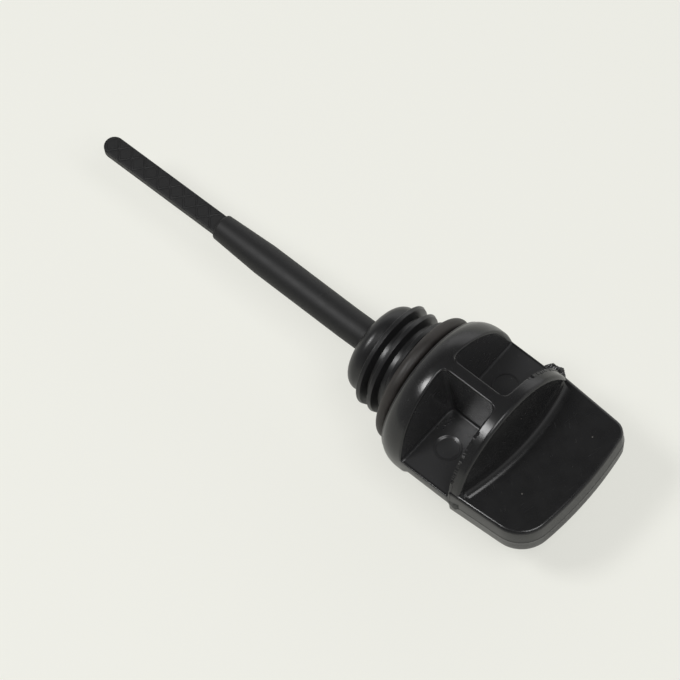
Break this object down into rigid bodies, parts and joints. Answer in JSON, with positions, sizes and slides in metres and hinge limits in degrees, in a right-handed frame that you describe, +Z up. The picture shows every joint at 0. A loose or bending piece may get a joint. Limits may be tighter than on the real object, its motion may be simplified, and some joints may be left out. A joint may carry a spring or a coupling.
{
  "type": "screw-in oil dipstick cap",
  "caption": "Screw-in oil filler cap lying on its side: short right-hand thread with seal ring, two flanges with a cored grip, flat finger handle, and a round stem with a hatched flat blade.",
  "frame": {"origin": "on the ground under the middle of the cap's length and width, as it lies on its two flanges", "axes": "+X along the cap's axis from the blade towards the handle, +Z up, square to the flat handle"},
  "size_m": [0.1112, 0.0326, 0.03],
  "materials": {
    "moulding": "moulded black plastic with a soft gloss",
    "ring": "matt black rubber"
  },
  "bodies": {
    "root": {"cap_moulding": "moulding", "seal_ring": "ring"}
  },
  "joints": []
}
